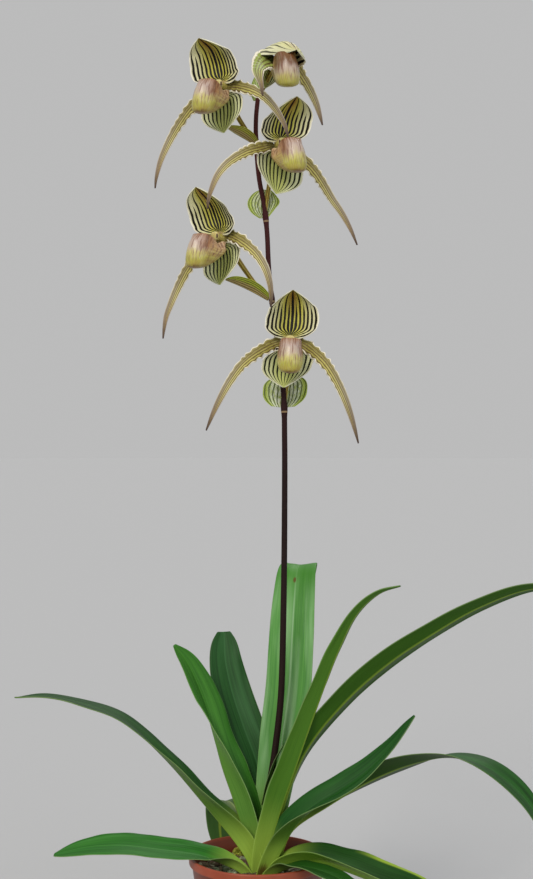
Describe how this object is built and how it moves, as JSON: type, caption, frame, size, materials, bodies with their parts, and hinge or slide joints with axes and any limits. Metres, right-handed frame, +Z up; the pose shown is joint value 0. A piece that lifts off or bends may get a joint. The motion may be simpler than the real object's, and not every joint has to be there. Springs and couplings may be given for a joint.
{
  "type": "potted slipper orchid",
  "caption": "Slipper orchid in a tapered plastic pot: arching strap leaves and a tall scape of pouch flowers with striped sepals and long drooping petals.",
  "frame": {"origin": "middle of the pot's underside, on the plane that the pot stands on", "axes": "+Z up the plant, +Y away from the side that the flowers face, +X to the viewer's right"},
  "size_m": [0.5719, 0.2534, 0.9454],
  "materials": {
    "pot_plastic": "satin",
    "bark_mix": "matte",
    "moss": "matte",
    "crown_green": "satin",
    "leaf_green": "gloss",
    "leaf_dark": "gloss",
    "leaf_pale": "gloss",
    "scape_maroon": "matte",
    "sepal_striped": "satin",
    "petal_ochre": "satin",
    "pouch_mauve": "satin",
    "column_yellow": "satin",
    "ovary_olive": "matte",
    "bract_lime": "satin"
  },
  "bodies": {
    "root": {"bloom_1_bract": "bract_lime", "bloom_1_column": "column_yellow", "bloom_1_dorsal_sepal": "sepal_striped", "bloom_1_ovary": "ovary_olive", "bloom_1_petal_left": "petal_ochre", "bloom_1_petal_right": "petal_ochre", "bloom_1_pouch": "pouch_mauve", "bloom_1_synsepal": "sepal_striped", "bloom_2_bract": "bract_lime", "bloom_2_column": "column_yellow", "bloom_2_dorsal_sepal": "sepal_striped", "bloom_2_ovary": "ovary_olive", "bloom_2_petal_left": "petal_ochre", "bloom_2_petal_right": "petal_ochre", "bloom_2_pouch": "pouch_mauve", "bloom_2_synsepal": "sepal_striped", "bloom_3_bract": "bract_lime", "bloom_3_column": "column_yellow", "bloom_3_dorsal_sepal": "sepal_striped", "bloom_3_ovary": "ovary_olive", "bloom_3_petal_left": "petal_ochre", "bloom_3_petal_right": "petal_ochre", "bloom_3_pouch": "pouch_mauve", "bloom_3_synsepal": "sepal_striped", "bloom_4_bract": "bract_lime", "bloom_4_column": "column_yellow", "bloom_4_dorsal_sepal": "sepal_striped", "bloom_4_ovary": "ovary_olive", "bloom_4_petal_left": "petal_ochre", "bloom_4_petal_right": "petal_ochre", "bloom_4_pouch": "pouch_mauve", "bloom_4_synsepal": "sepal_striped", "bloom_5_bract": "bract_lime", "bloom_5_column": "column_yellow", "bloom_5_dorsal_sepal": "sepal_striped", "bloom_5_ovary": "ovary_olive", "bloom_5_petal_left": "petal_ochre", "bloom_5_petal_right": "petal_ochre", "bloom_5_pouch": "pouch_mauve", "bloom_5_synsepal": "sepal_striped", "crown": "crown_green", "leaf_back_left_upright": "leaf_dark", "leaf_back_low": "leaf_green", "leaf_back_upright": "leaf_pale", "leaf_front_low": "leaf_pale", "leaf_left_arching": "leaf_green", "leaf_left_low": "leaf_green", "leaf_left_upright": "leaf_green", "leaf_right_arching": "leaf_dark", "leaf_right_long": "leaf_green", "leaf_right_low": "leaf_green", "leaf_right_short": "leaf_dark", "leaf_right_upright": "leaf_pale", "mix": "bark_mix", "moss": "moss", "pot": "pot_plastic", "scape": "scape_maroon", "scape_sheath": "leaf_pale"}
  },
  "joints": []
}
